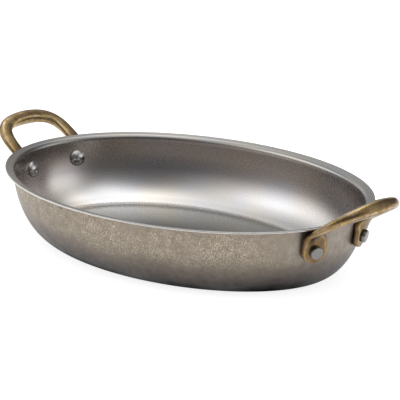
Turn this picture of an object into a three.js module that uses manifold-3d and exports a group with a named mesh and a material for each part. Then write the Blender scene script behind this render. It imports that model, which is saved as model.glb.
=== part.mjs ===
// Oval serving dish: a pressed steel dish with a flared lip and two riveted brass loop handles.
// Millimetres. X runs along the dish, Y across it and Z up. The origin is the middle of the base.
import * as THREE from 'three';
import { mergeVertices } from 'three/addons/utils/BufferGeometryUtils.js';
import Module from 'manifold-3d';

const wasm = await Module();
wasm.setup();
const { degToRad, lerp, smoothstep } = THREE.MathUtils;

// Dish
const rimLength = 200;
const rimWidth = 142;
const dishHeight = 34;
const sheet = 0.9;
const lipWidth = 3.8;
const lipRise = 0.8;
const lipBend = 1;
const wallSpread = 16.7;
const wallFlare = degToRad(3);
const kneeSlope = degToRad(19);
const kneeBend = 1.6;
const lowerFullness = 6.5;
const upperFullness = 18;

// Handle loop, from where its legs pass under the lip to the grip
const loopWidth = 38;
const loopLength = 21.7;
const loopTilt = degToRad(33.5);
const legStraight = 14;
const gripStraight = 17.2;
const gripWidth = 6;
const gripThickness = 6.2;
const legWidth = 6.9;
const legThickness = 3;

// Handle lugs, flat against the wall, and the shoulder that bends each into a leg
const lugWidth = 12.4;
const lugThickness = 2.6;
const lugDrop = 5.3;
const shoulderDrop = 4.6;
const shoulderRise = 2.2;
const shoulderReach = 2.5;

// Rivets, each set in from the leg above it
const legSplay = 3.6;
const rivetSpacing = loopWidth - 2 * legSplay;
const rivetDrop = 11;
const shankDiameter = 3.2;
const domeOverhang = 2.2;
const domeHeight = 2.5;
const tailOverhang = 1.2;
const tailHeight = 1.7;
const tailRounding = 0.4;

// Clearances: between seated faces, round a shank, and between a leg and the edge of the lip
const seatGap = 0.3;
const holeClearance = 0.3;
const lipGap = 0.35;

// How square a handle section is (2 is an ellipse)
const lugSquareness = 4;
const gripSquareness = 2.6;

// Facets
const ovalSteps = 72;
const kneeSteps = 2;
const wallSteps = 9;
const bendSteps = 3;
const sectionSteps = 14;
const lugEndSteps = 5;
const neckSteps = 10;
const loopSteps = 10;
const rivetSteps = 20;
const domeSteps = 4;

const up = new THREE.Vector3(0, 0, 1);
const sideways = new THREE.Vector3(0, 1, 0);
const mirrored = (v) => new THREE.Vector3(v.x, -v.y, v.z);
const moved = (from, direction, distance) => from.clone().addScaledVector(direction, distance);

function solidOf(geometry) {
  const bare = geometry.clone();
  bare.deleteAttribute('normal');
  bare.deleteAttribute('uv');
  const merged = mergeVertices(bare);
  return new wasm.Manifold(new wasm.Mesh({
    numProp: 3,
    vertProperties: new Float32Array(merged.attributes.position.array),
    triVerts: new Uint32Array(merged.index.array),
  }));
}

function geometryOf(solid) {
  const cut = solid.getMesh();
  const geometry = new THREE.BufferGeometry();
  geometry.setAttribute('position', new THREE.BufferAttribute(cut.vertProperties, 3));
  geometry.setIndex(new THREE.BufferAttribute(cut.triVerts, 1));
  geometry.computeVertexNormals();
  return geometry;
}

// A closed skin over rings of points, each ring turning left as seen against the way the rings run.
// Each end is closed by a fan to the middle of its ring.
function loft(rings) {
  const count = rings[0].length;
  const points = rings.flat();
  const faces = [];
  for (let ring = 0; ring + 1 < rings.length; ring += 1) {
    for (let step = 0; step < count; step += 1) {
      const here = ring * count + step;
      const beside = ring * count + (step + 1) % count;
      faces.push(here, beside, beside + count, here, beside + count, here + count);
    }
  }
  const middleOf = (ring) => ring.reduce((sum, p) => sum.add(p), new THREE.Vector3()).divideScalar(count);
  const firstMiddle = points.push(middleOf(rings[0])) - 1;
  const lastMiddle = points.push(middleOf(rings.at(-1))) - 1;
  const lastRing = (rings.length - 1) * count;
  for (let step = 0; step < count; step += 1) {
    const next = (step + 1) % count;
    faces.push(firstMiddle, next, step);
    faces.push(lastMiddle, lastRing + step, lastRing + next);
  }
  const geometry = new THREE.BufferGeometry().setFromPoints(points);
  geometry.setIndex(faces);
  return geometry;
}

// Where a rising measure reaches a target, by halving.
function reach(measure, target, low, high) {
  let from = low;
  let to = high;
  for (let halving = 0; halving < 40; halving += 1) {
    const middle = (from + to) / 2;
    if (measure(middle) < target) {
      from = middle;
    } else {
      to = middle;
    }
  }
  return from;
}

// A place on the oval at an angle, moved in from the rim, with the outward direction there.
function ovalPlace(angle, inset, height) {
  const outward = new THREE.Vector3(Math.cos(angle) * rimWidth, Math.sin(angle) * rimLength, 0).normalize();
  const rim = new THREE.Vector3(Math.cos(angle) * rimLength / 2, Math.sin(angle) * rimWidth / 2, height);
  return { place: moved(rim, outward, -inset), outward };
}

function ovalPlaceAcross(across, inset, height) {
  const angle = reach((turn) => ovalPlace(turn, inset, height).place.y, across, 0, Math.PI / 2);
  return ovalPlace(angle, inset, height);
}

function ovalRing({ x: inset, y: height }) {
  return Array.from({ length: ovalSteps }, (_, step) => (
    ovalPlace((step / ovalSteps) * 2 * Math.PI, inset, height).place));
}

// Outside of the dish in section, from the base to the edge of the lip.
// Here x is the inset from the rim and y the height.
const lipAngle = Math.atan2(lipRise, lipWidth);
const edgeHeight = dishHeight - sheet * Math.cos(lipAngle);
const lipCorner = new THREE.Vector2(lipWidth, edgeHeight - lipRise);
const lipDirection = new THREE.Vector2(-Math.cos(lipAngle), Math.sin(lipAngle));
const wallDirection = new THREE.Vector2(-Math.sin(wallFlare), Math.cos(wallFlare));
const wallTop = moved(lipCorner, wallDirection, -lipBend);
const upperPull = moved(wallTop, wallDirection, -upperFullness);
const kneeCorner = new THREE.Vector2(lipWidth + wallSpread, 0);
const kneeDirection = new THREE.Vector2(-Math.cos(kneeSlope), Math.sin(kneeSlope));
const wallFoot = moved(kneeCorner, kneeDirection, kneeBend);
const lowerPull = moved(wallFoot, kneeDirection, lowerFullness);
const floorEdge = new THREE.Vector2(kneeCorner.x + kneeBend, 0);
const knee = new THREE.QuadraticBezierCurve(floorEdge, kneeCorner, wallFoot);
const wall = new THREE.CubicBezierCurve(wallFoot, lowerPull, upperPull, wallTop);
const bend = new THREE.QuadraticBezierCurve(wallTop, lipCorner, moved(lipCorner, lipDirection, lipBend));
const lipEdge = new THREE.Vector2(0, edgeHeight);
const outside = [
  ...knee.getPoints(kneeSteps),
  ...wall.getPoints(wallSteps).slice(1),
  ...bend.getPoints(bendSteps).slice(1),
  lipEdge,
];

// The section moved evenly into the metal, or away from it where the distance is negative.
function parallel(section, distance) {
  const across = (from, to) => new THREE.Vector2(to.y - from.y, from.x - to.x).normalize();
  return section.map((point, index) => {
    const last = index === section.length - 1;
    const arriving = index === 0 ? new THREE.Vector2(0, 1) : across(section[index - 1], point);
    const leaving = last ? arriving : across(point, section[index + 1]);
    const mitre = arriving.clone().add(leaving).normalize();
    return moved(point, mitre, distance / mitre.dot(arriving));
  });
}

const sheetGeometry = (under, over) => loft([...under, ...over.toReversed()].map(ovalRing));

// The wall at a rivet: a point on its outside, the way up it and the way out of it.
function rivetSeat() {
  const height = dishHeight - rivetDrop;
  const along = reach((share) => wall.getPoint(share).y, height, 0, 1);
  const slope = wall.getTangent(along);
  const { place, outward } = ovalPlaceAcross(rivetSpacing / 2, wall.getPoint(along).x, height);
  const climb = outward.clone().multiplyScalar(-slope.x).addScaledVector(up, slope.y).normalize();
  const out = outward.clone().multiplyScalar(slope.y).addScaledVector(up, slope.x).normalize();
  return { place, climb, out };
}

const seat = rivetSeat();

// Middle line of the rear half of the right handle: up the lug, over the shoulder and round to the grip.
// The lug starts deep enough to reach through the sheet, so that the wall can be cut out of its back.
const lugStock = lugThickness + seatGap + sheet;
const lugMiddle = moved(seat.place, seat.out, seatGap + lugThickness - lugStock / 2);
const loopRun = new THREE.Vector3(Math.cos(loopTilt), 0, Math.sin(loopTilt));
const loopFace = new THREE.Vector3(-Math.sin(loopTilt), 0, Math.cos(loopTilt));
const lipCrossing = ovalPlaceAcross(loopWidth / 2, 0, edgeHeight).place;
const legStart = moved(lipCrossing, loopFace, -(lipGap + legThickness / 2));
const grip = moved(legStart, loopRun, loopLength).setY(0);
const lugTop = moved(lugMiddle, seat.climb, (legStart.z - shoulderDrop - lugMiddle.z) / seat.climb.z);
const lug = new THREE.LineCurve3(lugMiddle, lugTop);
const shoulder = new THREE.CubicBezierCurve3(
  lugTop,
  moved(lugTop, seat.climb, shoulderRise),
  moved(legStart, loopRun, -shoulderReach),
  legStart,
);
const loop = new THREE.CubicBezierCurve3(
  legStart,
  moved(legStart, loopRun, legStraight),
  moved(grip, sideways, gripStraight),
  grip,
);

// One ring of the handle: a rounded rectangle square to the middle line, its thickness along the face.
function handleRing(centre, run, face, width, thickness, squareness) {
  const thick = moved(face, run, -face.dot(run)).normalize();
  const wide = new THREE.Vector3().crossVectors(thick, run).normalize();
  const soften = (value) => Math.sign(value) * Math.abs(value) ** (2 / squareness);
  return Array.from({ length: sectionSteps }, (_, step) => {
    const turn = ((step + 0.5) / sectionSteps) * 2 * Math.PI;
    const sidePoint = moved(centre, wide, soften(Math.cos(turn)) * width / 2);
    return moved(sidePoint, thick, soften(Math.sin(turn)) * thickness / 2);
  });
}

function halfHandle() {
  const rings = [];
  const lugFace = seat.out.clone().negate();
  const firstTurn = 0.3;
  for (let step = 0; step < lugEndSteps; step += 1) {
    const turn = lerp(firstTurn, Math.PI / 2, step / lugEndSteps);
    const centre = moved(lugMiddle, seat.climb, -lugDrop * Math.cos(turn));
    rings.push(handleRing(centre, seat.climb, lugFace, lugWidth * Math.sin(turn), lugStock, lugSquareness));
  }
  const neck = new THREE.CurvePath();
  neck.add(lug);
  neck.add(shoulder);
  const lugShare = lug.getLength() / neck.getLength();
  for (let step = 0; step <= neckSteps; step += 1) {
    const along = step / neckSteps;
    const blend = smoothstep(along, 0, 1);
    const narrowing = smoothstep(along, lugShare, 1);
    rings.push(handleRing(
      neck.getPoint(along),
      neck.getTangent(along),
      lugFace.clone().lerp(loopFace, blend),
      lerp(lugWidth, legWidth, narrowing),
      lerp(lugStock, legThickness, blend),
      lerp(lugSquareness, gripSquareness, narrowing),
    ));
  }
  for (let step = 1; step <= loopSteps; step += 1) {
    const along = step / loopSteps;
    rings.push(handleRing(
      loop.getPoint(along),
      loop.getTangent(along),
      loopFace,
      lerp(legWidth, gripWidth, along),
      lerp(legThickness, gripThickness, along),
      gripSquareness,
    ));
  }
  return rings;
}

function handleGeometry() {
  const half = halfHandle();
  const otherHalf = half.slice(0, -1).reverse().map((ring) => ring.map(mirrored));
  return loft([...half, ...otherHalf]);
}

// A rivet about the Y axis, with the outside of the wall at zero: a dome inside the dish, the shank
// and a flat tail on the lug.
const holeDiameter = shankDiameter + 2 * holeClearance;

function rivetGeometry() {
  const tailSeat = seatGap + lugThickness + seatGap;
  const tailEnd = tailSeat + tailHeight;
  const tailRadius = holeDiameter / 2 + tailOverhang;
  const domeEdge = holeDiameter / 2 + domeOverhang;
  const domeRadius = (domeEdge ** 2 + domeHeight ** 2) / (2 * domeHeight);
  const domeSweep = Math.asin(domeEdge / domeRadius);
  const profile = Array.from({ length: domeSteps + 1 }, (_, step) => {
    const turn = domeSweep * (step / domeSteps);
    return new THREE.Vector2(
      domeRadius * Math.sin(turn), domeRadius * (1 - Math.cos(turn)) - sheet - seatGap - domeHeight);
  });
  profile.push(
    new THREE.Vector2(domeEdge, -sheet),
    new THREE.Vector2(shankDiameter / 2, -sheet),
    new THREE.Vector2(shankDiameter / 2, tailSeat),
    new THREE.Vector2(tailRadius, tailSeat),
    new THREE.Vector2(tailRadius, tailEnd - tailRounding),
    new THREE.Vector2(tailRadius - tailRounding, tailEnd),
    new THREE.Vector2(0, tailEnd),
  );
  return new THREE.LatheGeometry(profile, rivetSteps);
}

// Placing of the rivet axis at the rear (1) or front (-1) of the right handle.
function rivetPlacing(side) {
  const place = side > 0 ? seat.place : mirrored(seat.place);
  const out = side > 0 ? seat.out : mirrored(seat.out);
  const turn = new THREE.Quaternion().setFromUnitVectors(sideways, out);
  return new THREE.Matrix4().compose(place, turn, new THREE.Vector3(1, 1, 1));
}

// Cuts: the rivet holes, the wall out of the backs of the lugs and out of the domes' undersides.
const halfTurn = new THREE.Matrix4().makeRotationZ(Math.PI);
const drill = new THREE.CylinderGeometry(
  holeDiameter / 2, holeDiameter / 2, 2 * (lugStock + lugThickness + sheet), rivetSteps);
const clearUnder = parallel(outside, -seatGap);
const clearOver = parallel(outside, sheet + seatGap);
let dishSolid = solidOf(sheetGeometry(outside, parallel(outside, sheet)));
const dishSpace = solidOf(loft([...clearUnder, clearOver.at(-1)].map(ovalRing)));
let handleSolid = solidOf(handleGeometry()).subtract(dishSpace);
let wallSpace = solidOf(sheetGeometry(clearUnder, clearOver));
for (const side of [-1, 1]) {
  const bored = drill.clone().applyMatrix4(rivetPlacing(side));
  const hole = solidOf(bored);
  handleSolid = handleSolid.subtract(hole);
  wallSpace = wallSpace.subtract(hole);
  dishSolid = dishSolid.subtract(hole).subtract(solidOf(bored.applyMatrix4(halfTurn)));
}

const pressedSteel = new THREE.MeshStandardMaterial({ color: 0x8f877d, roughness: 0.45, metalness: 1 });
const agedBrass = new THREE.MeshStandardMaterial({ color: 0x96733f, roughness: 0.4, metalness: 1 });
const rivetSteel = new THREE.MeshStandardMaterial({ color: 0x8a8884, roughness: 0.35, metalness: 1 });

function named(name, geometry, material) {
  const mesh = new THREE.Mesh(geometry, material);
  mesh.name = name;
  return mesh;
}

// The left fitting is the right one turned half round, so its front rivet is the one made at the rear.
const servingDish = new THREE.Group();
servingDish.add(named('dish_body', geometryOf(dishSolid), pressedSteel));
for (const end of ['right', 'left']) {
  const fitting = new THREE.Group();
  fitting.rotation.z = end === 'left' ? Math.PI : 0;
  fitting.add(named(`${end}_handle`, geometryOf(handleSolid), agedBrass));
  for (const side of [-1, 1]) {
    const blank = solidOf(rivetGeometry().applyMatrix4(rivetPlacing(side)));
    const word = (side < 0) === (end === 'right') ? 'front' : 'rear';
    fitting.add(named(`${end}_handle_${word}_rivet`, geometryOf(blank.subtract(wallSpace)), rivetSteel));
  }
  servingDish.add(fitting);
}

export default servingDish;
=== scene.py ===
import math

import bpy
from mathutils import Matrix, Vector
from mathutils.bvhtree import BVHTree


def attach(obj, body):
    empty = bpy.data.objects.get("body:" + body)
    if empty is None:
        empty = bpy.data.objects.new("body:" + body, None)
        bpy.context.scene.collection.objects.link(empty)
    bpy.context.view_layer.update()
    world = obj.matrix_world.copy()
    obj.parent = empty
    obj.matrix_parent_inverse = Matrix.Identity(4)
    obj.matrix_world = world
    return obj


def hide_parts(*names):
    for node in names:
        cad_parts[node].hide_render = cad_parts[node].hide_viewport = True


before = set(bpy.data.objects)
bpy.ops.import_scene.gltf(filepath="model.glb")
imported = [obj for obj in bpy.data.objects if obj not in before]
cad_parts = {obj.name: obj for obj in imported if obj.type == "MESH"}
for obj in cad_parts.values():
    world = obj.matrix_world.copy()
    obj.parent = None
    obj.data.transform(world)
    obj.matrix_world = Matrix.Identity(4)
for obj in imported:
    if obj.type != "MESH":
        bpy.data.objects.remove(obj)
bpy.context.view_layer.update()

# Dish: sizes in metres, angles in radians
mm = 0.001
rim_length = 200 * mm
rim_width = 142 * mm
dish_height = 34 * mm
sheet = 0.9 * mm
lip_width = 3.8 * mm
lip_rise = 0.8 * mm
lip_bend = 1 * mm
lip_angle = math.atan2(lip_rise, lip_width)
edge_height = dish_height - sheet * math.cos(lip_angle)
wall_spread = 16.7 * mm
wall_flare = math.radians(3)
knee_slope = math.radians(19)
knee_bend = 1.6 * mm
lower_fullness = 6.5 * mm
upper_fullness = 18 * mm
eased_edge = 0.3 * mm
sharp_angle = math.radians(60)

# Handles: a loop, two legs and two lugs; a squareness of 2 gives a round section, and more a squarer one
loop_width = 38 * mm
loop_length = 21.15 * mm
loop_tilt = math.radians(33)
leg_straight = 14 * mm
grip_straight = 17.2 * mm
grip_width = 6.7 * mm
grip_thickness = 6.8 * mm
grip_squareness = 2.5
leg_width = 6.8 * mm
leg_thickness = 3 * mm
leg_splay = 3.6 * mm
lip_gap = 0.35 * mm
lug_width = 12.3 * mm
lug_thickness = 2.8 * mm
lug_drop = 5.3 * mm
lug_squareness = 4.5
tip_fullness = 0.75
shoulder_drop = 4.6 * mm
shoulder_rise = 2.2 * mm
shoulder_reach = 2.5 * mm
inner_lag = 2.0
seat_gap = 0.04 * mm
wall_probe = 20 * mm

# Rivets: a dome inside the dish, a shank, and a flat tail on the lug
rivet_spacing = loop_width - 2 * leg_splay
rivet_drop = 11 * mm
dome_radius = 4.05 * mm
dome_height = 2.6 * mm
dome_crown = 0.6 * dome_radius
dome_brow = 0.45 * dome_height
dome_side = 0.4 * dome_brow
shank_radius = 1.6 * mm
tail_radius = 2.95 * mm
tail_height = 1.8 * mm
tail_rounding = 0.45 * mm

# Meshes: points round and along a shape, the share of its rows on a floor, tip or crown, and welds
curve_steps = 48
dish_points_round = 217
dish_points_along = 110
dish_floor_rows = 0.12
dish_edge_steps = 3
strap_points_round = 33
strap_points_along = 140
lug_tip_rows = 0.15
rivet_points_round = 49
rivet_points_along = 60
rivet_crown_rows = 0.001
sweep_weld = 0.004 * mm
strap_weld = 0.01 * mm

# Floor and view: the sensor and the lens are in the camera's own millimetres
floor_size = 6.0
floor_grey = 0.62
floor_roughness = 0.8
floor_glow = 0.85
sensor_width = 36.0
lens_length = 162.54
view_azimuth = math.radians(43.78)
view_elevation = math.radians(16.67)
view_distance = 848.5 * mm
view_target = Vector((10.38, -0.23, 24.98)) * mm

# Studio light: each glow is its azimuth and elevation in degrees, its tightness and its strength
ambient = 0.15
far_glows = (
    (133, 74, 20, 1.12),
    (133, 55, 22, 1.75),
    (125, 12, 24, 0.35),
    (160, 15, 24, 0.78),
)
left_glows = (
    (222, 28, 26, 1.43),
    (200, 12, 26, 1.1),
    (200, 54, 22, 0.52),
)
near_glows = (
    (250, 58, 22, 0.42),
    (250, 32, 24, 0.34),
    (280, 76, 20, 0.85),
    (340, 60, 22, 0.78),
)
right_glows = (
    (20, 22, 26, 0.93),
    (45, 14, 26, 1.2),
    (45, 60, 20, 0.88),
)


class Nodes:
    """Short ways to add linked nodes to a node tree."""

    def __init__(self, tree):
        self.tree = tree

    def node(self, kind, links, **settings):
        node = self.tree.nodes.new(kind)
        for setting, value in settings.items():
            setattr(node, setting, value)
        for key, value in links.items():
            if isinstance(value, bpy.types.NodeSocket):
                self.tree.links.new(value, node.inputs[key])
            else:
                node.inputs[key].default_value = value
        return node

    def math(self, operation, *values):
        return self.node("ShaderNodeMath", dict(enumerate(values)), operation=operation).outputs[0]

    def vector(self, operation, *values):
        node = self.node("ShaderNodeVectorMath", dict(enumerate(values)), operation=operation)
        return node.outputs["Value" if operation == "DOT_PRODUCT" else "Vector"]

    def scaled(self, vector, amount):
        node = self.node("ShaderNodeVectorMath", {"Vector": vector, "Scale": amount}, operation="SCALE")
        return node.outputs["Vector"]

    def combined(self, x, y, z):
        return self.node("ShaderNodeCombineXYZ", {"X": x, "Y": y, "Z": z}).outputs[0]

    def separated(self, vector):
        return self.node("ShaderNodeSeparateXYZ", {0: vector}).outputs

    def ramped(self, value, low, high, first, second, interpolation="LINEAR"):
        """From first to second as the value goes from low to high."""
        links = {"Value": value, "From Min": low, "From Max": high, "To Min": first, "To Max": second}
        return self.node("ShaderNodeMapRange", links, interpolation_type=interpolation).outputs[0]

    def eased(self, value, low, high, first, second):
        """The same with a soft start and end."""
        return self.ramped(value, low, high, first, second, "SMOOTHSTEP")


class Maker(Nodes):
    """A geometry node tree with named sizes, made into plain meshes."""

    def __init__(self, name, sizes):
        super().__init__(bpy.data.node_groups.new(name, "GeometryNodeTree"))
        self.identifiers = {}
        for size, kind in sizes.items():
            socket = self.tree.interface.new_socket(size, in_out="INPUT", socket_type=f"NodeSocket{kind}")
            self.identifiers[size] = socket.identifier
        self.tree.interface.new_socket("Geometry", in_out="OUTPUT", socket_type="NodeSocketGeometry")
        self.given = self.tree.nodes.new("NodeGroupInput").outputs

    def mixed(self, share, first, second):
        node = self.node("ShaderNodeMix", {0: share, 4: first, 5: second}, data_type="VECTOR")
        return node.outputs[1]

    def grid(self, across, along):
        """A flat grid that keeps its own two shares, from 0 to 1, when it is bent into shape."""
        grid = self.node("GeometryNodeMeshGrid", {
            "Size X": 1.0,
            "Size Y": 1.0,
            "Vertices X": across,
            "Vertices Y": along,
        }).outputs["Mesh"]
        flat = self.separated(self.node("GeometryNodeInputPosition", {}).outputs[0])
        for name, axis in (("around", "X"), ("along", "Y")):
            grid = self.stored(grid, name, self.math("ADD", flat[axis], 0.5))
        return grid, self.kept("around"), self.kept("along")

    def stored(self, geometry, name, value):
        links = {"Geometry": geometry, "Name": name, "Value": value}
        return self.node("GeometryNodeStoreNamedAttribute", links, data_type="FLOAT").outputs[0]

    def kept(self, name):
        return self.node("GeometryNodeInputNamedAttribute", {"Name": name}, data_type="FLOAT").outputs[0]

    def on_curve(self, curve, share):
        shape = self.node("GeometryNodeObjectInfo", {"Object": curve}).outputs["Geometry"]
        return self.node("GeometryNodeSampleCurve", {"Curves": shape, "Factor": share}, use_all_curves=True)

    def complete(self, geometry):
        """The last nodes of every tree: a smooth plain mesh with its material."""
        whole = self.node("GeometryNodeRealizeInstances", {"Geometry": geometry}).outputs[0]
        smooth = self.node("GeometryNodeSetShadeSmooth", {0: whole}).outputs[0]
        dressed = self.node("GeometryNodeSetMaterial", {
            "Geometry": smooth,
            "Material": self.given["Material"],
        })
        self.node("NodeGroupOutput", {0: dressed.outputs[0]})
        return self

    def made(self, name, values, start=None):
        """A plain mesh object from the tree with its sizes set."""
        base = start or bpy.data.meshes.new(f"{name}_start")
        maker = bpy.data.objects.new(f"{name}_maker", base)
        bpy.context.scene.collection.objects.link(maker)
        shape = maker.modifiers.new("shape", "NODES")
        shape.node_group = self.tree
        for size, value in values.items():
            shape[self.identifiers[size]] = value
        return plain_mesh(maker, name)


class Finish(Nodes):
    """A metal whose colour, roughness and relief come from patterns on the object's coordinates."""

    usual_low = 0.3
    usual_high = 0.7

    def __init__(self, name):
        self.material = bpy.data.materials.new(name)
        self.material.use_nodes = True
        super().__init__(self.material.node_tree)
        self.shader = self.tree.nodes["Principled BSDF"]
        self.shader.inputs["Metallic"].default_value = 1.0
        self.place = self.node("ShaderNodeTexCoord", {}).outputs["Object"]
        place = self.separated(self.place)
        self.lengthways = place["X"]
        self.height = place["Z"]

    def noise(self, size, detail=3.0, stretch=(1.0, 1.0, 1.0), roughness=0.5, place=None):
        """Noise with spots of about one size, drawn out along an axis where its stretch is over one."""
        scale = [1 / amount for amount in stretch]
        drawn = self.node("ShaderNodeMapping", {"Vector": place or self.place, "Scale": scale})
        links = {"Vector": drawn.outputs[0], "Scale": 1 / size, "Detail": detail, "Roughness": roughness}
        return self.node("ShaderNodeTexNoise", links).outputs["Fac"]

    def varied(self, noise, first, second):
        """From first to second over the range in which most of a noise lies."""
        return self.ramped(noise, self.usual_low, self.usual_high, first, second)

    def kept(self, name):
        return self.node("ShaderNodeAttribute", {}, attribute_name=name).outputs["Fac"]

    def stops(self, value, *stops):
        """A colour ramp through (place, colour) stops."""
        node = self.node("ShaderNodeValToRGB", {"Fac": value})
        ramp = node.color_ramp
        while len(ramp.elements) < len(stops):
            ramp.elements.new(0.5)
        for element, (place, colour) in zip(ramp.elements, stops):
            element.position = place
            element.color = (*colour, 1.0)
        return node.outputs["Color"]

    def blended(self, share, first, second, way="MIX"):
        links = {0: share, 6: self.colour(first), 7: self.colour(second)}
        return self.node("ShaderNodeMix", links, data_type="RGBA", blend_type=way).outputs[2]

    def tinted(self, colour, tint):
        """One colour multiplied by another."""
        return self.blended(1.0, colour, tint, "MULTIPLY")

    def colour(self, value):
        return value if isinstance(value, bpy.types.NodeSocket) else (*value, 1.0)

    def done(self, colour, roughness, relief, depth):
        """The material with its colour, its roughness and a fine relief of a given depth."""
        bump = self.node("ShaderNodeBump", {"Height": relief, "Distance": depth, "Strength": 1.0})
        self.tree.links.new(colour, self.shader.inputs["Base Color"])
        self.tree.links.new(roughness, self.shader.inputs["Roughness"])
        self.tree.links.new(bump.outputs["Normal"], self.shader.inputs["Normal"])
        return self.material


def plain_mesh(maker, name):
    """The evaluated mesh of an object as an object of its own, in place of the first one."""
    bpy.context.view_layer.update()
    evaluated = maker.evaluated_get(bpy.context.evaluated_depsgraph_get())
    mesh = bpy.data.meshes.new_from_object(evaluated)
    mesh.name = name
    bpy.data.objects.remove(maker)
    piece = bpy.data.objects.new(name, mesh)
    bpy.context.scene.collection.objects.link(piece)
    return piece


def curve_object(name, knots):
    """A Bezier curve through knots, each given as (arriving handle, place, leaving handle)."""
    data = bpy.data.curves.new(name, "CURVE")
    data.dimensions = "3D"
    data.resolution_u = curve_steps
    spline = data.splines.new("BEZIER")
    spline.bezier_points.add(len(knots) - 1)
    for point, (arriving, place, leaving) in zip(spline.bezier_points, knots):
        point.handle_left_type = "FREE"
        point.handle_right_type = "FREE"
        point.handle_left = arriving
        point.co = place
        point.handle_right = leaving
    curve = bpy.data.objects.new(name, data)
    bpy.context.scene.collection.objects.link(curve)
    return curve


def sweep_tree():
    """A section carried round an oval: x of the section is the inset from the oval, z the height."""
    tree = Maker("section swept round an oval", {
        "Section": "Object",
        "Length": "Float",
        "Width": "Float",
        "Floor Rows": "Float",
        "Points Round": "Int",
        "Points Along": "Int",
        "Material": "Material",
    })
    given = tree.given
    grid, around, along = tree.grid(given["Points Round"], given["Points Along"])
    angle = tree.math("MULTIPLY", around, math.tau)
    floor_scale = tree.ramped(along, 0.0, given["Floor Rows"], 0.0, 1.0)
    factor = tree.ramped(along, given["Floor Rows"], 1.0, 0.0, 1.0)
    section = tree.separated(tree.on_curve(given["Section"], factor).outputs["Position"])
    cosine = tree.math("COSINE", angle)
    sine = tree.math("SINE", angle)
    outward = tree.vector("NORMALIZE", tree.combined(
        tree.math("MULTIPLY", cosine, given["Width"]),
        tree.math("MULTIPLY", sine, given["Length"]),
        0.0,
    ))
    oval = tree.scaled(tree.combined(
        tree.math("MULTIPLY", cosine, given["Length"]),
        tree.math("MULTIPLY", sine, given["Width"]),
        0.0,
    ), 0.5)
    place = tree.vector("SUBTRACT", oval, tree.scaled(outward, section["X"]))
    level = tree.combined(0.0, 0.0, section["Z"])
    spread = tree.vector("ADD", tree.scaled(place, floor_scale), level)
    skin = tree.node("GeometryNodeSetPosition", {"Geometry": grid, "Position": spread})
    closed = tree.node("GeometryNodeMergeByDistance", {
        "Geometry": skin.outputs[0],
        "Distance": sweep_weld,
    })
    return tree.complete(closed.outputs[0])


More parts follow.
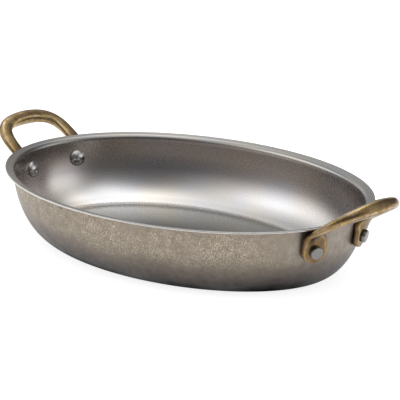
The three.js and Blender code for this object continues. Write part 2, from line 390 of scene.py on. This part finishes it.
def handle_tree():
    """A strap carried up a lug and round a loop, mirrored across the dish, its back seated on the wall."""
    tree = Maker("loop handle", {
        "Path": "Object",
        "Wall": "Object",
        "Tip Rows": "Float",
        "Tip Fullness": "Float",
        "Inner Lag": "Float",
        "Leg Splay": "Float",
        "Lug End Share": "Float",
        "Lug Top Share": "Float",
        "Leg Share": "Float",
        "Lug Width": "Float",
        "Leg Width": "Float",
        "Grip Width": "Float",
        "Lug Thickness": "Float",
        "Leg Thickness": "Float",
        "Grip Thickness": "Float",
        "Lug Squareness": "Float",
        "Grip Squareness": "Float",
        "Lug Out": "Vector",
        "Lug Climb": "Vector",
        "Loop Run": "Vector",
        "Loop Face": "Vector",
        "Seat Gap": "Float",
        "Half Turn": "Vector",
        "Points Round": "Int",
        "Points Along": "Int",
        "Material": "Material",
    })
    given = tree.given
    grid, around, row = tree.grid(given["Points Round"], given["Points Along"])
    turn = tree.math("MULTIPLY", around, math.tau)

    # Places along the middle line, closer together in the rounded tip
    tip_turn = tree.ramped(row, 0.0, given["Tip Rows"], 0.0, math.pi / 2)
    in_tip = tree.math("SUBTRACT", 1.0, tree.math("COSINE", tip_turn))
    after_tip = tree.math("SUBTRACT", 1.0, given["Lug End Share"])
    past_tip = tree.ramped(row, given["Tip Rows"], 1.0, 0.0, after_tip)
    along = tree.math("MULTIPLY_ADD", in_tip, given["Lug End Share"], past_tip)
    middle = tree.on_curve(given["Path"], along)
    in_neck = tree.eased(along, given["Lug End Share"], given["Leg Share"], 0.0, 1.0)
    neck_run = tree.mixed(in_neck, given["Lug Climb"], given["Loop Run"])
    past_neck = tree.math("GREATER_THAN", along, given["Leg Share"])
    run = tree.vector("NORMALIZE", tree.mixed(past_neck, neck_run, middle.outputs["Tangent"]))

    # Width: the inner shoulder of a lug starts later than the outer one, so the strap leans as it narrows
    shoulder = tree.ramped(along, given["Lug Top Share"], given["Leg Share"], 0.0, 1.0)
    outer = tree.eased(shoulder, 0.0, 1.0, 0.0, 1.0)
    inner = tree.eased(tree.math("POWER", shoulder, given["Inner Lag"]), 0.0, 1.0, 0.0, 1.0)
    in_loop = tree.ramped(along, given["Leg Share"], 1.0, 0.0, 1.0)
    roundness = tree.math("POWER", tree.math("SINE", tip_turn), given["Tip Fullness"])

    def grown(neck_size, leg_size, grip_size):
        gain = tree.math("SUBTRACT", grip_size, leg_size)
        return tree.math("MULTIPLY_ADD", in_loop, gain, neck_size)

    narrowing = tree.math("MULTIPLY", tree.math("SUBTRACT", given["Lug Width"], given["Leg Width"]), 0.5)
    outer_shift = tree.math("MULTIPLY", outer, tree.math("SUBTRACT", given["Leg Splay"], narrowing))
    inner_travel = tree.math("ADD", given["Leg Splay"], narrowing)
    inner_shift = tree.math("MULTIPLY", inner, inner_travel)
    neck_width = tree.math("ADD", given["Lug Width"], tree.math("SUBTRACT", outer_shift, inner_shift))
    half_travel = tree.math("MULTIPLY", inner_travel, 0.5)
    lean = tree.math("MULTIPLY", tree.math("SUBTRACT", inner, outer), half_travel)
    width = tree.math("MULTIPLY", roundness, grown(neck_width, given["Leg Width"], given["Grip Width"]))

    # Section: from nearly square in the lug to nearly round in the grip
    neck_depth = tree.ramped(in_neck, 0.0, 1.0, given["Lug Thickness"], given["Leg Thickness"])
    depth = grown(neck_depth, given["Leg Thickness"], given["Grip Thickness"])
    squareness = tree.ramped(outer, 0.0, 1.0, given["Lug Squareness"], given["Grip Squareness"])
    power = tree.math("DIVIDE", 2.0, squareness)

    def half_size(value, size):
        softened = tree.math("POWER", tree.math("ABSOLUTE", value), power)
        signed = tree.math("MULTIPLY", tree.math("SIGN", value), softened)
        return tree.math("MULTIPLY", signed, tree.math("MULTIPLY", size, 0.5))

    face = tree.mixed(in_neck, tree.scaled(given["Lug Out"], -1.0), given["Loop Face"])
    face_on_run = tree.scaled(run, tree.vector("DOT_PRODUCT", face, run))
    thick = tree.vector("NORMALIZE", tree.vector("SUBTRACT", face, face_on_run))
    wide = tree.vector("NORMALIZE", tree.vector("CROSS_PRODUCT", thick, run))
    half_width = half_size(tree.math("COSINE", turn), width)
    half_depth = half_size(tree.math("SINE", turn), depth)
    across = tree.math("ADD", lean, half_width)
    sideways = tree.vector("ADD", middle.outputs["Position"], tree.scaled(wide, across))
    place = tree.vector("ADD", sideways, tree.scaled(thick, half_depth))
    corner = tree.math("ABSOLUTE", tree.math("SINE", tree.math("MULTIPLY", turn, 2.0)))
    marked = tree.stored(grid, "corner", corner)
    strap = tree.node("GeometryNodeSetPosition", {"Geometry": marked, "Position": place})

    # Seat: what lies in the wall is lifted onto it
    here = tree.node("GeometryNodeInputPosition", {}).outputs[0]
    wall = tree.node("GeometryNodeObjectInfo", {"Object": given["Wall"]}).outputs["Geometry"]
    ray = tree.node("GeometryNodeRaycast", {
        "Target Geometry": wall,
        "Source Position": tree.vector("ADD", here, tree.scaled(given["Lug Out"], wall_probe)),
        "Ray Direction": tree.scaled(given["Lug Out"], -1.0),
        "Ray Length": 2 * wall_probe,
    })
    to_wall = tree.vector("SUBTRACT", ray.outputs["Hit Position"], here)
    sunk = tree.vector("DOT_PRODUCT", to_wall, given["Lug Out"])
    lift = tree.math("MAXIMUM", tree.math("ADD", sunk, given["Seat Gap"]), 0.0)
    seated = tree.node("GeometryNodeSetPosition", {
        "Geometry": strap.outputs[0],
        "Selection": tree.math("LESS_THAN", along, given["Lug Top Share"]),
        "Offset": tree.scaled(given["Lug Out"], tree.math("MULTIPLY", lift, ray.outputs["Is Hit"])),
    })

    # The other half
    other = tree.node("GeometryNodeTransform", {"Geometry": seated.outputs[0], "Scale": (1.0, -1.0, 1.0)})
    turned = tree.node("GeometryNodeFlipFaces", {"Mesh": other.outputs[0]})
    joined = tree.node("GeometryNodeJoinGeometry", {})
    for half in (seated, turned):
        tree.tree.links.new(half.outputs[0], joined.inputs[0])
    closed = tree.node("GeometryNodeMergeByDistance", {
        "Geometry": joined.outputs[0],
        "Distance": strap_weld,
    })
    ended = tree.node("GeometryNodeTransform", {
        "Geometry": closed.outputs[0],
        "Rotation": given["Half Turn"],
    })
    return tree.complete(ended.outputs[0])


def rivet_tree():
    """One rivet set on each point, its axis along the point's outward direction."""
    tree = Maker("rivets on the wall", {"Points": "Geometry", "Rivet": "Object", "Material": "Material"})
    rivet = tree.node("GeometryNodeObjectInfo", {"Object": tree.given["Rivet"]}).outputs["Geometry"]
    out = tree.node("GeometryNodeInputNamedAttribute", {"Name": "out"}, data_type="FLOAT_VECTOR").outputs[0]
    turn = tree.node("FunctionNodeAlignRotationToVector", {"Vector": out}, axis="Z").outputs[0]
    set_rivets = tree.node("GeometryNodeInstanceOnPoints", {
        "Points": tree.given["Points"],
        "Instance": rivet,
        "Rotation": turn,
    })
    return tree.complete(set_rivets.outputs[0])


def dish_section():
    """Outside of the dish from the edge of the floor to the edge of the lip, as a Bezier curve."""
    def at(inset, height):
        return Vector((inset, 0, height))

    def drawn(first, corner):
        return first.lerp(corner, 2 / 3)

    lip_corner = at(lip_width, edge_height - lip_rise)
    wall_run = at(-math.sin(wall_flare), math.cos(wall_flare))
    wall_top = lip_corner - wall_run * lip_bend
    knee_corner = at(lip_width + wall_spread, 0)
    climb = at(-math.cos(knee_slope), math.sin(knee_slope))
    wall_foot = knee_corner + climb * knee_bend
    floor_edge = at(knee_corner.x + knee_bend, 0)
    lip_start = lip_corner + at(-math.cos(lip_angle), math.sin(lip_angle)) * lip_bend
    lip_edge = at(0, edge_height)
    return curve_object("dish_section", [
        (floor_edge, floor_edge, drawn(floor_edge, knee_corner)),
        (drawn(wall_foot, knee_corner), wall_foot, wall_foot + climb * lower_fullness),
        (wall_top - wall_run * upper_fullness, wall_top, drawn(wall_top, lip_corner)),
        (drawn(lip_start, lip_corner), lip_start, lip_start.lerp(lip_edge, 1 / 3)),
        (lip_start.lerp(lip_edge, 2 / 3), lip_edge, lip_edge),
    ])


def rivet_section():
    """Half of a rivet, from its dome's crown to the middle of its tail, with the wall's outside at zero."""
    dome_foot = -sheet
    crown = dome_foot - dome_height
    lug_face = seat_gap + lug_thickness
    tail_end = lug_face + tail_height
    tail_side = tail_end - tail_rounding
    half_rounding = tail_rounding / 2

    def at(radius, height):
        return Vector((dome_radius - radius, 0, height))

    def corner(radius, height):
        return (at(radius, height),) * 3

    brow = at(dome_radius, dome_foot - dome_brow)
    side = at(dome_radius, dome_foot - dome_side)
    tail_edge = at(tail_radius, tail_side)
    tail_flat = at(tail_radius - tail_rounding, tail_end)
    return curve_object("rivet_section", [
        (at(0, crown), at(0, crown), at(dome_crown, crown)),
        (brow, side, at(dome_radius, dome_foot)),
        corner(dome_radius, dome_foot),
        corner(shank_radius, dome_foot),
        corner(shank_radius, lug_face),
        corner(tail_radius, lug_face),
        (tail_edge, tail_edge, at(tail_radius, tail_end - half_rounding)),
        (at(tail_radius - half_rounding, tail_end), tail_flat, at(tail_radius / 2, tail_end)),
        corner(0, tail_end),
    ])


def wall_seat(skin):
    """The outside of the wall at the rear rivet of the right handle: its place and outward direction."""
    tree = BVHTree.FromObject(skin, bpy.context.evaluated_depsgraph_get())
    start = Vector((rim_length, rivet_spacing / 2, dish_height - rivet_drop))
    place, out, _, _ = tree.ray_cast(start, Vector((-1, 0, 0)))
    return place, out


def handle_path(place, out):
    """Middle line of half a handle, from the lower end of its lug to the middle of the grip."""
    up = Vector((0, 0, 1))
    climb = (up - out * up.dot(out)).normalized()
    run = Vector((math.cos(loop_tilt), 0, math.sin(loop_tilt)))
    face = Vector((-math.sin(loop_tilt), 0, math.cos(loop_tilt)))
    lug_middle = place + out * (seat_gap + lug_thickness / 2)
    across = loop_width / 2
    rim_x = rim_length / 2 * math.sqrt(1 - (across / (rim_width / 2)) ** 2)
    leg_start = Vector((rim_x, across, edge_height)) - face * (lip_gap + leg_thickness / 2)
    grip = leg_start + run * loop_length
    grip.y = 0
    lug_end = lug_middle - climb * lug_drop
    lug_top = lug_middle + climb * ((leg_start.z - shoulder_drop - lug_middle.z) / climb.z)
    knots = [
        (lug_end, lug_end, lug_end.lerp(lug_middle, 1 / 3)),
        (lug_end.lerp(lug_middle, 2 / 3), lug_middle, lug_middle.lerp(lug_top, 1 / 3)),
        (lug_middle.lerp(lug_top, 2 / 3), lug_top, lug_top + climb * shoulder_rise),
        (leg_start - run * shoulder_reach, leg_start, leg_start + run * leg_straight),
        (grip + Vector((0, grip_straight, 0)), grip, grip),
    ]
    path = curve_object("handle_path", knots)
    lengths = [spline_length(path, knot) for knot in range(len(knots) - 1)]
    shares = [sum(lengths[:count]) / sum(lengths) for count in range(1, len(lengths))]
    lug_end_share, lug_top_share, leg_share = shares
    return {
        "Path": path,
        "Lug Climb": climb,
        "Loop Run": run,
        "Loop Face": face,
        "Lug End Share": lug_end_share,
        "Lug Top Share": lug_top_share,
        "Leg Share": leg_share,
    }


def spline_length(path, knot):
    """Length of one segment of a Bezier curve object."""
    points = path.data.splines[0].bezier_points
    first = points[knot]
    last = points[knot + 1]
    steps = 60
    length = 0.0
    before = first.co.copy()
    for step in range(1, steps + 1):
        share = step / steps
        rest = 1 - share
        here = (first.co * rest ** 3 + first.handle_right * (3 * rest * rest * share)
                + last.handle_left * (3 * rest * share * share) + last.co * share ** 3)
        length += (here - before).length
        before = here
    return length


def tumbled_steel():
    """Outside of the dish: warm grey with light flecks, a painted cool reflection lightening the ends, and
    painted shade darkening the colour and dimming the reflections towards the base.
    """
    finish = Finish("tumbled_steel")
    waver = finish.noise(22 * mm, detail=2.0)
    level = finish.math("ADD", finish.height, finish.varied(waver, -1.5 * mm, 1.5 * mm))
    share = finish.ramped(level, 0.0, dish_height, 0.0, 1.0)
    # Painted shade: the colour darkens towards the base, nearly black next to the floor
    ground = finish.stops(
        share,
        (0.0, (0.004, 0.004, 0.004)),
        (0.12, (0.015, 0.013, 0.012)),
        (0.28, (0.101, 0.086, 0.077)),
        (0.42, (0.169, 0.144, 0.12)),
        (0.58, (0.244, 0.209, 0.167)),
        (0.8, (0.268, 0.229, 0.183)),
        (1.0, (0.248, 0.212, 0.172)),
    )
    mottle = finish.noise(3.2 * mm, detail=4.0, roughness=0.6)
    mottled = finish.scaled(ground, finish.varied(mottle, 0.87, 1.1))
    from_middle = finish.math("ABSOLUTE", finish.lengthways)
    at_tip = finish.eased(from_middle, 82 * mm, 98 * mm, 0.0, 1.0)
    # Painted reflection: the colour at both ends is lightened and turned cooler
    painted_end_sheen = finish.tinted(mottled, (1.06, 1.1, 1.19))
    with_painted_end_sheen = finish.blended(at_tip, mottled, painted_end_sheen)

    above_base = finish.eased(share, 0.36, 0.54, 0.1, 1.0)
    below_lip = finish.eased(share, 0.9, 1.02, 1.0, 0.4)
    worn = finish.math("MULTIPLY", above_base, below_lip)
    patches = finish.eased(finish.noise(26 * mm), 0.4, 0.58, 0.3, 1.0)
    at_end = finish.eased(from_middle, 66 * mm, 94 * mm, 0.0, 1.0)
    kept_flecks = finish.math("MULTIPLY", patches, finish.ramped(at_end, 0.0, 1.0, 1.0, 0.2))
    flecks = finish.noise(0.45 * mm, detail=2.0, stretch=(1.0, 1.0, 1.8), roughness=0.6)
    light_flecks = finish.ramped(flecks, 0.46, 0.7, -0.08, 1.0)
    fleck_share = finish.math("MULTIPLY", worn, kept_flecks)
    fleck_factor = finish.math("ADD", 1.0, finish.math("MULTIPLY", light_flecks, fleck_share))
    colour = finish.scaled(with_painted_end_sheen, fleck_factor)
    roughness = finish.varied(mottle, 0.5, 0.42)
    # Painted shade: the reflections are dimmed near the base
    painted_dim_base = finish.stops(share, (0.02, (0.36, 0.36, 0.36)), (0.16, (1.0, 1.0, 1.0)))
    finish.tree.links.new(painted_dim_base, finish.shader.inputs["Specular Tint"])
    return finish.done(colour, roughness, relief=flecks, depth=0.006 * mm)


def satin_steel():
    """Inside of the dish: smudged floor, painted reflections and shade in height bands (floor darker, wall
    bright below and browner above, bend brighter), and painted light that changes along the dish on wall,
    bend and lip.
    """
    finish = Finish("satin_steel")
    floor_level = 0.027
    crease_level = 0.036
    wall_light_middle = -18 * mm
    bend_middle = 25 * mm
    marks = finish.noise(0.4 * mm, stretch=(1.0, 1.0, 5.0), roughness=0.6)
    grain = finish.noise(0.35 * mm, detail=2.0, roughness=0.6)
    texture = finish.math(
        "ADD",
        finish.math("MULTIPLY", marks, 0.6),
        finish.math("MULTIPLY", grain, 0.4),
    )
    level = finish.ramped(finish.height, 0.0, dish_height, 0.0, 1.0)
    # Painted reflections and shade in height bands: a darker floor, a bright band low on the wall, a
    # browner upper wall and a brighter bend under the lip
    ground = finish.stops(
        level,
        (floor_level, (0.285, 0.293, 0.275)),
        (crease_level, (0.68, 0.665, 0.635)),
        (0.12, (0.9, 0.875, 0.84)),
        (0.22, (0.84, 0.82, 0.79)),
        (0.34, (0.65, 0.625, 0.61)),
        (0.5, (0.42, 0.395, 0.392)),
        (0.7, (0.46, 0.413, 0.38)),
        (0.88, (0.33, 0.293, 0.272)),
        (0.93, (0.5, 0.48, 0.455)),
        (0.97, (0.41, 0.4, 0.38)),
    )
    tint = finish.stops(
        finish.noise(30 * mm, detail=2.0),
        (0.34, (0.975, 0.995, 1.06)),
        (0.66, (1.045, 1.0, 0.935)),
    )
    toned = finish.tinted(ground, tint)

    def distance_from(middle):
        return finish.math("ABSOLUTE", finish.math("SUBTRACT", finish.lengthways, middle))

    # Painted light that changes along the dish, on the wall, the bend and the lip
    on_wall = finish.eased(distance_from(wall_light_middle), 10 * mm, 75 * mm, 0.945, 1.065)
    on_bend = finish.eased(distance_from(bend_middle), 20 * mm, 95 * mm, 1.26, 0.7)
    on_lip = finish.eased(distance_from(0.0), 55 * mm, 98 * mm, 1.05, 0.72)
    below_lip = finish.ramped(level, 0.89, 0.92, on_wall, on_bend)
    painted_light_and_wear = finish.ramped(level, 0.945, 0.97, below_lip, on_lip)
    smudges = finish.noise(9 * mm, detail=5.0, stretch=(3.0, 1.0, 1.0), roughness=0.7)
    on_floor = finish.varied(smudges, 0.95, 1.05)
    smudged_floor = finish.ramped(level, floor_level, 0.04, on_floor, 1.0)
    fine = finish.math("MULTIPLY", smudged_floor, finish.varied(texture, 0.98, 1.02))
    colour = finish.scaled(toned, finish.math("MULTIPLY", painted_light_and_wear, fine))
    smoothing = finish.ramped(level, floor_level, crease_level, -0.1, 0.0)
    roughness = finish.math("ADD", finish.varied(texture, 0.25, 0.29), smoothing)
    return finish.done(colour, roughness, relief=texture, depth=0.0006 * mm)


def edge_steel():
    """Cut edge of the lip, rubbed bright and lightened further as a painted highlight."""
    finish = Finish("edge_steel")
    marks = finish.noise(2.5 * mm, detail=2.0)
    colour = finish.stops(
        marks,
        (finish.usual_low, (0.62, 0.605, 0.58)),
        (finish.usual_high, (0.72, 0.705, 0.68)),
    )
    roughness = finish.varied(marks, 0.3, 0.38)
    return finish.done(colour, roughness, relief=marks, depth=0.002 * mm)


def aged_brass():
    """Handles: aged brass in brown, olive and gold patches; lugs darker, partly a browner patina and partly
    painted shade; painted shade under the loop; rubbed edges, lightened further as a painted highlight.
    """
    finish = Finish("aged_brass")
    strap_length = 50 * mm
    along = finish.kept("along")
    turn = finish.math("MULTIPLY", finish.kept("around"), math.tau)
    sine = finish.math("SINE", turn)
    on_strap = finish.combined(
        finish.math("MULTIPLY", finish.math("COSINE", turn), grip_width / 2),
        finish.math("MULTIPLY", sine, grip_width / 2),
        finish.math("MULTIPLY", along, strap_length),
    )
    streaks = finish.noise(0.55 * mm, detail=2.0, stretch=(1.0, 1.0, 9.0), roughness=0.6, place=on_strap)
    blotches = finish.noise(3.5 * mm, roughness=0.6)
    specks = finish.noise(0.45 * mm, detail=2.0, roughness=0.6)
    fine = finish.math("MULTIPLY_ADD", streaks, 0.4, finish.math("MULTIPLY", specks, 0.3))
    patchy = finish.math("MULTIPLY_ADD", blotches, 0.3, fine)
    # Lugs darker, partly a browner patina and partly painted shade
    darker_lugs = finish.eased(along, 0.32, 0.5, -0.145, 0.0)
    bright_legs = finish.eased(along, 0.7, 0.95, 0.025, -0.01)
    # Rubbed edges, lightened further as a painted highlight
    rubbed_and_highlit_edges = finish.eased(finish.kept("corner"), 0.6, 1.0, -0.02, 0.08)
    above = finish.math("ADD", finish.math("ADD", darker_lugs, bright_legs), rubbed_and_highlit_edges)
    # Painted shade on the underside of the loop
    painted_underside_shade = finish.eased(sine, -0.8, 0.0, -0.085, 0.0)
    on_loop = finish.eased(along, 0.4, 0.55, 0.0, 1.0)
    painted_light_and_wear = finish.math("MULTIPLY_ADD", painted_underside_shade, on_loop, above)
    shine = finish.math("ADD", patchy, painted_light_and_wear)
    ground = finish.stops(
        shine,
        (0.36, (0.15, 0.098, 0.053)),
        (0.5, (0.258, 0.184, 0.097)),
        (0.62, (0.52, 0.404, 0.24)),
    )
    tone = finish.stops(
        finish.noise(2.2 * mm, roughness=0.6),
        (0.36, (1.0, 1.0, 1.16)),
        (0.64, (1.02, 0.96, 0.66)),
    )
    colour = finish.tinted(ground, tone)
    roughness = finish.ramped(shine, 0.38, 0.62, 0.34, 0.23)
    return finish.done(colour, roughness, relief=patchy, depth=0.005 * mm)


def rivet_steel():
    """Rivets: polished grey domes, and duller tails, which come last along the half section."""
    finish = Finish("rivet_steel")
    scratches = finish.noise(0.5 * mm, stretch=(1.0, 3.0, 1.0))
    ground = finish.stops(
        scratches,
        (finish.usual_low, (0.45, 0.445, 0.44)),
        (finish.usual_high, (0.53, 0.525, 0.52)),
    )
    tail = finish.ramped(finish.kept("along"), 0.6, 0.65, 0.0, 1.0)
    colour = finish.scaled(ground, finish.ramped(tail, 0.0, 1.0, 1.0, 0.42))
    smoothness = finish.varied(scratches, 0.14, 0.19)
    roughness = finish.math("ADD", smoothness, finish.ramped(tail, 0.0, 1.0, 0.0, 0.15))
    return finish.done(colour, roughness, relief=scratches, depth=0.0015 * mm)


def pale_floor():
    """A wide pale floor that glows a little, so that shadows on it stay faint."""
    half = floor_size / 2
    corners = [(-half, -half, 0), (half, -half, 0), (half, half, 0), (-half, half, 0)]
    mesh = bpy.data.meshes.new("floor")
    mesh.from_pydata(corners, [], [(0, 1, 2, 3)])
    pale = bpy.data.materials.new("pale_floor")
    pale.use_nodes = True
    shader = pale.node_tree.nodes["Principled BSDF"]
    shader.inputs["Base Color"].default_value = (floor_grey, floor_grey, floor_grey, 1)
    shader.inputs["Roughness"].default_value = floor_roughness
    shader.inputs["Emission Color"].default_value = (1, 1, 1, 1)
    shader.inputs["Emission Strength"].default_value = floor_glow
    mesh.materials.append(pale)
    floor = bpy.data.objects.new("floor", mesh)
    bpy.context.scene.collection.objects.link(floor)
    return floor


def studio_light(glows):
    """Even soft light from all round, brighter about the middle of each glow."""
    world = bpy.data.worlds.new("studio")
    world.use_nodes = True
    nodes = Nodes(world.node_tree)
    background = world.node_tree.nodes["Background"]
    background.inputs["Color"].default_value = (1, 1, 1, 1)
    direction = nodes.node("ShaderNodeTexCoord", {}).outputs["Generated"]
    total = ambient
    for azimuth, elevation, tightness, strength in glows:
        level = math.cos(math.radians(elevation))
        aim = (
            level * math.cos(math.radians(azimuth)),
            level * math.sin(math.radians(azimuth)),
            math.sin(math.radians(elevation)),
        )
        facing = nodes.math("SUBTRACT", nodes.vector("DOT_PRODUCT", direction, aim), 1.0)
        glow = nodes.math("EXPONENT", nodes.math("MULTIPLY", facing, tightness))
        total = nodes.math("ADD", total, nodes.math("MULTIPLY", glow, strength))
    world.node_tree.links.new(total, background.inputs["Strength"])
    return world


def photo_camera():
    """A camera with a long lens at the photographed view."""
    data = bpy.data.cameras.new("camera")
    data.sensor_width = sensor_width
    data.lens = lens_length
    camera = bpy.data.objects.new("camera", data)
    back = Vector((
        math.sin(view_azimuth) * math.cos(view_elevation),
        -math.cos(view_azimuth) * math.cos(view_elevation),
        math.sin(view_elevation),
    ))
    camera.location = view_target + back * view_distance
    camera.rotation_euler = back.to_track_quat("Z", "Y").to_euler()
    bpy.context.scene.collection.objects.link(camera)
    return camera


# Dish: one pressed sheet, drawn as its outside skin
sweep = sweep_tree()
section = dish_section()
dish_skin = sweep.made("dish_skin", {
    "Section": section,
    "Length": rim_length,
    "Width": rim_width,
    "Floor Rows": dish_floor_rows,
    "Points Round": dish_points_round,
    "Points Along": dish_points_along,
    "Material": tumbled_steel(),
})
bpy.data.objects.remove(section)
seat_place, seat_out = wall_seat(dish_skin)

# Handles: one shape, turned half round for the left end
middle_line = handle_path(seat_place, seat_out)
handle = handle_tree()
brass = aged_brass()
handles = []
for end, turn in (("right", 0.0), ("left", math.pi)):
    handles.append(handle.made(f"{end}_brass_handle", {
        **middle_line,
        "Wall": dish_skin,
        "Tip Rows": lug_tip_rows,
        "Tip Fullness": tip_fullness,
        "Inner Lag": inner_lag,
        "Leg Splay": leg_splay,
        "Lug Width": lug_width,
        "Leg Width": leg_width,
        "Grip Width": grip_width,
        "Lug Thickness": lug_thickness,
        "Leg Thickness": leg_thickness,
        "Grip Thickness": grip_thickness,
        "Lug Squareness": lug_squareness,
        "Grip Squareness": grip_squareness,
        "Lug Out": seat_out,
        "Seat Gap": seat_gap,
        "Half Turn": (0.0, 0.0, turn),
        "Points Round": strap_points_round,
        "Points Along": strap_points_along,
        "Material": brass,
    }))
bpy.data.objects.remove(middle_line["Path"])

# Rivets: one shape, set at the four seats
rivet_finish = rivet_steel()
half_rivet = rivet_section()
one_rivet = sweep.made("one_rivet", {
    "Section": half_rivet,
    "Length": 2 * dome_radius,
    "Width": 2 * dome_radius,
    "Floor Rows": rivet_crown_rows,
    "Points Round": rivet_points_round,
    "Points Along": rivet_points_along,
    "Material": rivet_finish,
})
bpy.data.objects.remove(half_rivet)
sides = [(x, y) for x in (1, -1) for y in (1, -1)]
places = [(seat_place.x * x, seat_place.y * y, seat_place.z) for x, y in sides]
seats = bpy.data.meshes.new("rivet_seats")
seats.from_pydata(places, [], [])
outs = seats.attributes.new("out", "FLOAT_VECTOR", "POINT")
for item, (x, y) in zip(outs.data, sides):
    item.vector = (seat_out.x * x, seat_out.y * y, seat_out.z)
rivets = rivet_tree().made("rivets", {"Rivet": one_rivet, "Material": rivet_finish}, seats)
bpy.data.objects.remove(one_rivet)

# Thickness and eased edge of the sheet
dish_skin.data.materials.append(satin_steel())
dish_skin.data.materials.append(edge_steel())
thick = dish_skin.modifiers.new("sheet", "SOLIDIFY")
thick.thickness = sheet
thick.offset = -1.0
thick.use_even_offset = True
thick.material_offset = 1
thick.material_offset_rim = 2
eased = dish_skin.modifiers.new("eased edge", "BEVEL")
eased.width = eased_edge
eased.segments = dish_edge_steps
eased.limit_method = "ANGLE"
eased.angle_limit = sharp_angle
dish = plain_mesh(dish_skin, "dish_shell")

# What each piece stands for
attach(dish, "root")
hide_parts("dish_body")
for piece, end in zip(handles, ("right", "left")):
    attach(piece, "root")
    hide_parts(f"{end}_handle")
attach(rivets, "root")
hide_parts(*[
    f"{end}_handle_{side}_rivet"
    for end in ("right", "left")
    for side in ("front", "rear")
])

# Stage: pale floor, soft light and the photographed view
floor = pale_floor()
bpy.context.scene.world = studio_light((*far_glows, *left_glows, *near_glows, *right_glows))
bpy.context.scene.camera = photo_camera()
bpy.context.scene.view_settings.view_transform = "Standard"
